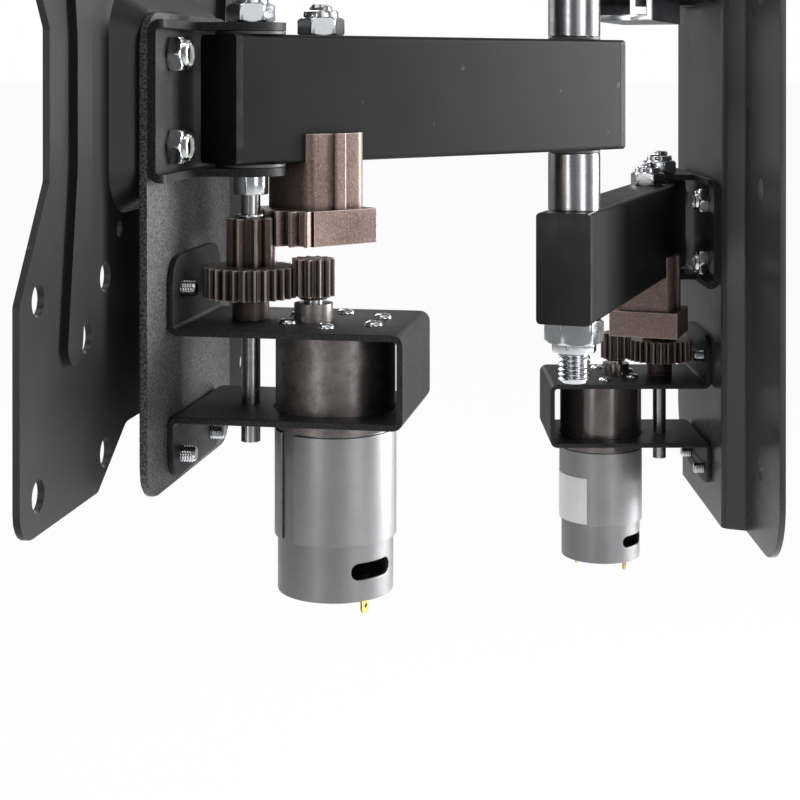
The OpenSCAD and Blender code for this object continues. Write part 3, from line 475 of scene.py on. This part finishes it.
def turned(rings, sides=48, hollow=False):
    """Points and faces of a turned piece in mm; a hollow one joins its last ring to its first."""
    points, faces = [], []
    for z, r in rings:
        for i in range(sides):
            a = 2 * math.pi * i / sides
            radius = r(a) if callable(r) else r
            points.append((radius * math.cos(a), radius * math.sin(a), z))
    last = len(rings) if hollow else len(rings) - 1
    for k in range(last):
        a, b = k * sides, (k + 1) % len(rings) * sides
        for i in range(sides):
            j = (i + 1) % sides
            faces.append((a + i, a + j, b + j, b + i))
    if not hollow:
        faces.append(tuple(range(sides - 1, -1, -1)))
        top = (len(rings) - 1) * sides
        faces.append(tuple(range(top, top + sides)))
    return points, faces


def thread_rings(d, low, high, chamfer=0.0):
    """Rings of an outer screw thread from low to high, its crests at the full diameter."""
    pitch = PITCH[d]
    depth = THREAD_DEPTH * pitch
    steps = max(2, round((high - low) / (pitch / THREAD_RINGS)))
    rings = []
    for k in range(steps + 1):
        z = low + (high - low) * k / steps
        cut = min(d / 2, d / 2 - chamfer + (high - z)) if chamfer else d / 2

        def radius(a, z=z, cut=cut):
            phase = (z / pitch - a / (2 * math.pi)) % 1
            return min(cut, d / 2 - depth * (1 - abs(2 * phase - 1)))
        rings.append((z, radius))
    return rings


# Lock nut in shares of its thread's diameter (heights) and of its width across flats (radii)
NUT_MIDDLE = 0.36
NUT_SHOULDER = 0.72
NUT_FOOT_CHAMFER = [(0.025 * k, 0.512 + 0.022 * k) for k in range(4)]
NUT_TOP_CHAMFER = [(NUT_SHOULDER - 0.026 * k, 0.497 + 0.021 * k) for k in range(4, 0, -1)]
NUT_COLLAR = [(NUT_SHOULDER, 0.455), (0.74, 0.43), (0.93, 0.425), (0.975, 0.41), (1.0, 0.375),
              (0.99, 0.345)]
NUT_LIP = (0.95, 0.335)
INSERT_FOOT, INSERT_RIM, INSERT_TOP, INSERT_TOP_R = 0.80, 0.955, 0.97, 0.31
BORE_PLAY, INSERT_PLAY = 0.05, 0.02  # in mm


def lock_nut(d, flat):
    """A hexagon nut with chamfered corners and a rolled collar."""
    wide, bore = hexagon(flat), d / 2 + BORE_PLAY
    rings = [(z * d, lesser(wide, r * flat)) for z, r in NUT_FOOT_CHAMFER]
    rings.append((NUT_MIDDLE * d, wide))
    rings += [(z * d, lesser(wide, r * flat)) for z, r in NUT_TOP_CHAMFER]
    rings += [(z * d, r * flat) for z, r in NUT_COLLAR + [NUT_LIP]]
    rings += [(NUT_LIP[0] * d, bore), (0, bore)]
    return turned(rings, sides=120, hollow=True)


def nut_insert(d, flat):
    """The nylon ring inside the collar."""
    outer, bore = NUT_LIP[1] * flat - INSERT_PLAY, d / 2 + INSERT_PLAY
    rings = [(INSERT_FOOT * d, outer), (INSERT_RIM * d, outer), (INSERT_TOP * d, INSERT_TOP_R * flat),
             (INSERT_RIM * d, bore), (INSERT_FOOT * d, bore)]
    return turned(rings, hollow=True)


# Hexagon socket and shank tip in shares of the thread's diameter, head in shares of its own size
SOCKET_MOUTH_R, SOCKET_MOUTH, SOCKET_FLAT, SOCKET_CONE, SOCKET_DEEP = 0.37, 0.06, 0.55, 0.1, 0.55
SHANK_TIP = [(0, 0.36), (0.06, 0.43)]
THREAD_START = 0.12
HEAD_TOP = [(0.55, 0.5), (0.8, 0.46), (1, 0.36)]
HEAD_EDGE = 0.15  # in mm
POINT_R = 0.02  # in mm, closes a recess
STEP = 0.05  # in mm, from the last thread ring to the plain shank


def socket_rings(top, d, depth):
    """Rings of a hexagon socket that sinks into a head's top."""
    flat = hexagon(SOCKET_FLAT * d)
    return [(top, SOCKET_MOUTH_R * d), (top - SOCKET_MOUTH * d, flat), (top - depth, flat),
            (top - depth - SOCKET_CONE * d, POINT_R)]


def capped_bolt(d, head_d, head_h, length, thread_l):
    """A socket head above z = 0 and a shank that ends in a thread below it."""
    start = thread_l - length
    rings = [(z * d - length, r * d) for z, r in SHANK_TIP]
    rings += thread_rings(d, THREAD_START * d - length, start)
    rings += [(start + STEP, d / 2), (0, d / 2), (0, head_d / 2 - HEAD_EDGE), (HEAD_EDGE, head_d / 2)]
    rings += [(z * head_h, r * head_d) for z, r in HEAD_TOP]
    return turned(rings + socket_rings(head_h, d, SOCKET_DEEP * head_h))


def full_mesh(parts):
    """Joins (points, faces, matrix) parts given in mm into one mesh in metres."""
    points, faces = [], []
    for pts, fcs, matrix in parts:
        start = len(points)
        points += [matrix @ (Vector(p) * MM) for p in pts]
        faces += [tuple(start + i for i in f) for f in fcs]
    return points, faces


SHARP_DEG = 32


def piece(name, parts, look, body, replaces=None, sharp_deg=SHARP_DEG):
    """A piece on a body; replaces names the CAD node that it stands for."""
    points, faces = full_mesh(parts)
    mesh = bpy.data.meshes.new(name)
    mesh.from_pydata(points, [], faces)
    mesh.update()
    mesh.materials.append(look)
    obj = bpy.data.objects.new(name, mesh)
    scene.collection.objects.link(obj)
    mesh.shade_smooth()
    mesh.set_sharp_from_angle(angle=math.radians(sharp_deg))
    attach(obj, body)
    if replaces:
        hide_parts(replaces)


def zinc_set(name, shape, places, body, replaces, sharp_deg=SHARP_DEG):
    """One piece that holds the same zinc fastener at several places."""
    piece(name, [(*shape, m) for m in places], LOOK["zinc"], body, replaces, sharp_deg)


# Socket bolts in mm; a head is its width and height
BASE_HEAD = (1.7 * M6, 3)
BASE_THREAD = 6.5
BASE_END = 0.9 * M6  # base bolt past its clevis
MOUNT_HEAD = (1.8 * M5, 2.4)
CASTING_HEAD = (1.6 * M8, M8)
CASTING_THREAD = 12
CASTING_END = M8 + 2  # casting bolt past the tube


def base_places(ends, x, turn):
    return [end @ shift(x, y * BASE_BOLT[0], z * BASE_BOLT[1]) @ turn
            for end in ends for y in (-1, 1) for z in (-1, 1)]


def screw_places(end, x, turn):
    heights = (SHELF_TOP + MOUNT_SCREW[1], SHELF_LOW - BRACKET_T - MOUNT_SCREW[1])
    return [end @ shift(x, y * MOUNT_SCREW[0], z) @ turn for y in (-1, 1) for z in heights]


def nut_set(name, d, places, body, replaced):
    flat = NUT_FLAT[d] * d
    zinc_set(name, lock_nut(d, flat), places, body, replaced)
    inserts = [(*nut_insert(d, flat), m) for m in places]
    piece(name + "_inserts", inserts, LOOK["nylon"], body)


def clevis_fasteners(prefix, body, ends, grip):
    inside = base_places(ends, -CLEVIS_REACH, OUTWARD)
    nut_set(prefix + "_clevis_lock_nuts", M6, inside, body, prefix + "_clevis_nuts")
    bolt = capped_bolt(M6, *BASE_HEAD, grip + CLEVIS_T + BASE_END, BASE_THREAD)
    heads = base_places(ends, -PIVOT_TO_FACE - grip, INWARD)
    zinc_set(prefix + "_clevis_threaded_bolts", bolt, heads, body, prefix + "_clevis_bolts")


def flange_screws(prefix, body, end, grip):
    thread = BRACKET_T + MOUNT_SCREW_TIP
    screw = capped_bolt(M5, *MOUNT_HEAD, grip + thread, thread)
    places = screw_places(end, -PIVOT_TO_FACE - grip, INWARD)
    zinc_set(prefix + "_flange_screws", screw, places, body, prefix + "_bracket_screws")


# Cross recess screw: tip and head radius in shares of the thread, recess of the head, heights in mm
CROSS_TIP_R, CROSS_HEAD, CROSS_ARM, CROSS_WAIST = 0.4, 0.95, 0.55, 0.13
CROSS_CORNER = 1.42  # radius between two arms, in shares of the waist
CROSS_SHANK, CROSS_TIP, CROSS_RIM = 3, 0.2, 0.1
CROSS_EDGE, CROSS_DOME = 0.15, 1.5
CROSS_DOME_TURNS = (0.3, 0.6, 0.85, 0.95)  # in radians, up the dome
CROSS_MOUTH, CROSS_FLOOR, CROSS_BOTTOM, CROSS_TAPER = 1.40, 0.75, 0.7, 0.8
CROSS_SHARP_DEG = 40
FACE_SCREWS = 6


def cross_screw():
    """A domed screw head with a cross recess, over its shank."""
    d, head = M3, CROSS_HEAD * M3
    arm, waist = CROSS_ARM * head, CROSS_WAIST * head
    quarter = math.pi / 4

    def cross(a):
        t = abs((a + quarter) % (2 * quarter) - quarter)
        return min(arm, waist / max(math.sin(t), 0.001)) if t < quarter else waist * CROSS_CORNER
    tip = -BRACKET_T - CROSS_SHANK
    rings = [(tip, CROSS_TIP_R * d), (tip + CROSS_TIP, d / 2), (0, d / 2)]
    rings += [(0, head - CROSS_RIM), (CROSS_EDGE, head)]
    rings += [(CROSS_EDGE + CROSS_DOME * math.sin(t), head * math.cos(t)) for t in CROSS_DOME_TURNS]
    rings += [(CROSS_MOUTH, lesser(cross, arm)), (CROSS_FLOOR, lambda a: CROSS_TAPER * cross(a)),
              (CROSS_BOTTOM, POINT_R)]
    return turned(rings, sides=64)


def face_screws(prefix, body, end, motor_x):
    """Six screws on the gearbox's face, each stopped at its own angle."""
    first_turn, next_turn = 0.5, 1.7  # in radians
    places = []
    for i in range(FACE_SCREWS):
        a = math.radians(360 / FACE_SCREWS * (i + 0.5))
        spot = shift(motor_x + SCREW_RING_R * math.cos(a), SCREW_RING_R * math.sin(a), SHELF_TOP)
        places.append(end @ spot @ Matrix.Rotation(first_turn + next_turn * i, 4, "Z"))
    zinc_set(prefix + "_cross_screws", cross_screw(), places, body, prefix + "_gearbox_screws",
             CROSS_SHARP_DEG)


# Clevis bolt, in mm except the head's radius in shares of the thread
PIVOT_HEAD_R = 0.685
PIVOT_HEAD = [(-5.8, -0.5), (-5.7, -0.15), (-5.4, 0), (-0.2, 0), (0, -0.2)]
PIVOT_END, PIVOT_CHAMFER = M8 + 2, 0.9


def pivot_bolt():
    """The clevis bolt: round head below, thread above."""
    high = TONGUE_OUT + FACE_GAP
    head_r = PIVOT_HEAD_R * M8
    rings = [(z - high, head_r + r) for z, r in PIVOT_HEAD]
    rings += [(-high, M8 / 2), (high - STEP, M8 / 2)]
    rings += thread_rings(M8, high, high + PIVOT_END, PIVOT_CHAMFER)
    return turned(rings, sides=60)


def arm_fasteners(prefix, body, arms, geared):
    tops = [arm @ shift(0, 0, TONGUE_OUT + FACE_GAP) for arm in arms]
    tops.append(geared @ shift(SECTOR_X, 0, TUBE_TOP))
    nut_set(prefix + "_lock_nuts", M8, tops, body, prefix + "_nuts")
    head = BLOCK_FOOT + M8
    casting_bolt = capped_bolt(M8, *CASTING_HEAD, TUBE_TOP - head + CASTING_END, CASTING_THREAD)
    parts = [(*pivot_bolt(), arm) for arm in arms]
    parts.append((*casting_bolt, geared @ shift(SECTOR_X, 0, head) @ DOWN))
    piece(prefix + "_threaded_bolts", parts, LOOK["zinc"], body, prefix + "_bolts")


# Elbow bolt: tip and head as (height in mm, radius in shares of the thread or of the flats)
ELBOW_END = M12 + 11
ELBOW_TIP = [(0, 0.36), (0.6, 0.42)]
ELBOW_THREAD = (1.2, 2)  # from the tip, and past the lower tube's underside
ELBOW_HEAD_SIDE = (0.5, 6.0)
ELBOW_HEAD_TOP = [(6.6, 0.56), (7.1, 0.52), (7.5, 0.48)]
ELBOW_HEAD_DISH = [(7.5, 0.42), (7.2, 0.40)]


def elbow_fasteners():
    top = REAR_Z + TUBE_TOP
    tip = -top - ELBOW_END
    flat = NUT_FLAT[M12] * M12
    wide = hexagon(flat)
    rings = [(tip + z, r * M12) for z, r in ELBOW_TIP]
    thread_end = -top + ELBOW_THREAD[1]
    rings += thread_rings(M12, tip + ELBOW_THREAD[0], thread_end)
    rings += [(thread_end + 2 * STEP, M12 / 2), (top, M12 / 2), (top, lesser(wide, flat / 2))]
    rings += [(top + z, wide) for z in ELBOW_HEAD_SIDE]
    rings += [(top + z, lesser(wide, r * flat)) for z, r in ELBOW_HEAD_TOP]
    rings += [(top + z, r * flat) for z, r in ELBOW_HEAD_DISH]
    zinc_set("elbow_threaded_bolt", turned(rings, sides=72), [ELBOW], "rear_arm", "elbow_bolt")
    nut_set("elbow_lock_nut", M12, [ELBOW @ shift(0, 0, -top) @ DOWN], "rear_arm", "elbow_nut")


def motor_at(prefix, end):
    at = joints[prefix + "_rotor_turn"] + Vector((0, 0, end.translation.z))
    return Matrix.Translation(at) @ end.to_3x3().to_4x4()


def label():
    """A blank paper label wrapped on the wall motor's ring."""
    start, end = math.radians(-15), math.radians(64)
    low, high = RING_TOP - 32, RING_TOP - 11.5
    steps, inner, paper_t = 16, MOTOR_R + 0.02, 0.12
    points, faces = [], []
    for k in range(steps + 1):
        a = start + (end - start) * k / steps
        for radius in (inner, inner + paper_t):
            for z in (low, high):
                points.append((radius * math.cos(a), radius * math.sin(a), z))
    for k in range(steps):
        a, b = 4 * k, 4 * k + 4
        faces += [(a, a + 1, b + 1, b), (a + 2, b + 2, b + 3, a + 3)]
        faces += [(a, b, b + 2, a + 2), (a + 1, a + 3, b + 3, b + 1)]
    last = 4 * steps
    faces += [(0, 2, 3, 1), (last, last + 1, last + 3, last + 2)]
    piece("wall_motor_label", [(points, faces, motor_at("wall", WALL_LOW))], LABEL, "wall_frame")


def fasten_everything():
    clevis_fasteners("wall", "wall_frame", [WALL_LOW, WALL_HIGH], WALL_T)
    clevis_fasteners("tv", "tv_head", [HEAD], SPINE_T + VESA_T)
    flange_screws("wall", "wall_frame", WALL_LOW, WALL_T)
    flange_screws("tv", "tv_head", HEAD, SPINE_T)
    for prefix, body, end in (("wall", "wall_frame", WALL_LOW), ("tv", "tv_head", HEAD)):
        motor_x = (joints[prefix + "_rotor_turn"] - joints[prefix + "_pivot"]).length / MM
        face_screws(prefix, body, end, motor_x)
    arm_fasteners("rear_arm", "rear_arm", [REAR_LOW, REAR_HIGH], REAR_LOW)
    arm_fasteners("front_arm", "front_arm", [FRONT], FRONT)
    elbow_fasteners()


# Stage: floor, light and camera. Panels are (heading, full within, gone beyond) in degrees
FLOOR_REACH, FLOOR_Z, FLOOR_GREY = 60.0, -0.46, 0.90
FLOOR_WHITE_SHARE = 0.96
AMBIENT, GLOSS_FLOOR, GLOSS_PANEL = 0.22, 0.16, 1.0
PANELS = ((20, 6, 20), (-62, 10, 20), (82, 5, 14), (-125, 12, 22), (150, 14, 26))
LAMP_AIM = (0.12, -0.12, -0.03)
LAMPS = (  # name, place, size, watts
    ("side", (-0.12, 0.90, 0.12), (0.5, 0.9), 22),
    ("fill", (1.05, 0.50, 0.10), (0.4, 0.9), 2.5),
    ("front", (1.04, -0.68, 0.05), (0.25, 0.8), 1.5),
    ("top", (0.45, -0.5, 1.1), (0.6, 0.6), 3.5),
    ("rim", (-0.7, -0.5, 0.5), (0.5, 0.8), 5),
)
CAMERA_AT = (0.7654, -0.1562, 0.0089)
CAMERA_YAW, CAMERA_PITCH = 0.469, 0.135  # in degrees
CAMERA_SHIFT_Y = -0.4072
IMAGE_PX, FOCAL_PX, SENSOR_MM = 800, 1671.6, 36


def floor():
    s, z = FLOOR_REACH, FLOOR_Z
    mesh = bpy.data.meshes.new("floor")
    mesh.from_pydata([(-s, -s, z), (s, -s, z), (s, s, z), (-s, s, z)], [], [(0, 1, 2, 3)])
    obj = bpy.data.objects.new("floor", mesh)
    scene.collection.objects.link(obj)
    mat = bpy.data.materials.new("pale_floor")
    mat.use_nodes = True
    tree = mat.node_tree
    tree.nodes.clear()
    out = tree.nodes.new("ShaderNodeOutputMaterial")
    diffuse = tree.nodes.new("ShaderNodeBsdfDiffuse")
    diffuse.inputs["Color"].default_value = (*grey(FLOOR_GREY), 1)
    glow = tree.nodes.new("ShaderNodeEmission")
    glow.inputs["Color"].default_value = (1, 1, 1, 1)
    path = tree.nodes.new("ShaderNodeLightPath")
    share = tree.nodes.new("ShaderNodeMath")
    share.operation = "MULTIPLY"
    share.inputs[1].default_value = FLOOR_WHITE_SHARE
    mix = tree.nodes.new("ShaderNodeMixShader")
    tree.links.new(path.outputs["Is Camera Ray"], share.inputs[0])
    tree.links.new(share.outputs[0], mix.inputs["Fac"])
    tree.links.new(diffuse.outputs[0], mix.inputs[1])
    tree.links.new(glow.outputs[0], mix.inputs[2])
    tree.links.new(mix.outputs[0], out.inputs["Surface"])
    mesh.materials.append(mat)


def world():
    """White to the camera, dim as light, and with upright bright panels in reflections."""
    made = bpy.data.worlds.new("studio")
    scene.world = made
    made.use_nodes = True
    tree = made.node_tree
    background = tree.nodes["Background"]
    path = tree.nodes.new("ShaderNodeLightPath")

    def compute(operation, a, b):
        node = tree.nodes.new("ShaderNodeMath")
        node.operation = operation
        for socket, value in zip(node.inputs, (a, b)):
            if hasattr(value, "is_output"):
                tree.links.new(value, socket)
            else:
                socket.default_value = value
        return node.outputs[0]

    def vector(operation, source, other=None):
        node = tree.nodes.new("ShaderNodeVectorMath")
        node.operation = operation
        tree.links.new(source, node.inputs[0])
        if other:
            node.inputs[1].default_value = other
        return node

    direction = tree.nodes.new("ShaderNodeTexCoord").outputs["Generated"]
    level_only = vector("MULTIPLY", direction, (1, 1, 0)).outputs[0]
    heading = vector("NORMALIZE", level_only).outputs[0]
    gloss = GLOSS_FLOOR
    for toward, inner, outer in PANELS:
        a = math.radians(toward)
        lit = tree.nodes.new("ShaderNodeMapRange")
        lit.interpolation_type = "SMOOTHSTEP"
        lit.inputs["From Min"].default_value = math.cos(math.radians(outer))
        lit.inputs["From Max"].default_value = math.cos(math.radians(inner))
        lit.inputs["To Max"].default_value = GLOSS_PANEL
        near = vector("DOT_PRODUCT", heading, (math.cos(a), math.sin(a), 0))
        tree.links.new(near.outputs["Value"], lit.inputs["Value"])
        gloss = compute("MAXIMUM", lit.outputs[0], gloss)
    reflected = compute("MULTIPLY", path.outputs["Is Glossy Ray"], gloss)
    seen = compute("MAXIMUM", path.outputs["Is Camera Ray"], path.outputs["Is Transmission Ray"])
    shown = compute("MAXIMUM", seen, reflected)
    other = compute("SUBTRACT", 1, compute("MAXIMUM", seen, path.outputs["Is Glossy Ray"]))
    strength = compute("ADD", shown, compute("MULTIPLY", other, AMBIENT))
    background.inputs["Color"].default_value = (1, 1, 1, 1)
    tree.links.new(strength, background.inputs["Strength"])


def lights():
    for name, at, size, watts in LAMPS:
        data = bpy.data.lights.new(name, "AREA")
        data.shape = "RECTANGLE"
        data.size, data.size_y = size
        data.energy = watts
        obj = bpy.data.objects.new(name, data)
        obj.location = at
        obj.rotation_euler = (Vector(LAMP_AIM) - Vector(at)).to_track_quat("-Z", "Y").to_euler()
        scene.collection.objects.link(obj)


def camera():
    data = bpy.data.cameras.new("camera")
    data.sensor_width = SENSOR_MM
    data.lens = FOCAL_PX * SENSOR_MM / IMAGE_PX
    data.shift_y = CAMERA_SHIFT_Y
    data.clip_start = 0.01
    data.dof.use_dof = False
    obj = bpy.data.objects.new("camera", data)
    obj.location = CAMERA_AT
    obj.rotation_euler = Euler((math.radians(90 - CAMERA_PITCH), 0, math.radians(90 - CAMERA_YAW)), "XYZ")
    scene.collection.objects.link(obj)
    scene.camera = obj


scene.view_settings.view_transform = "Standard"
camera()
finish_cad_nodes()
fasten_everything()
label()
floor()
world()
lights()
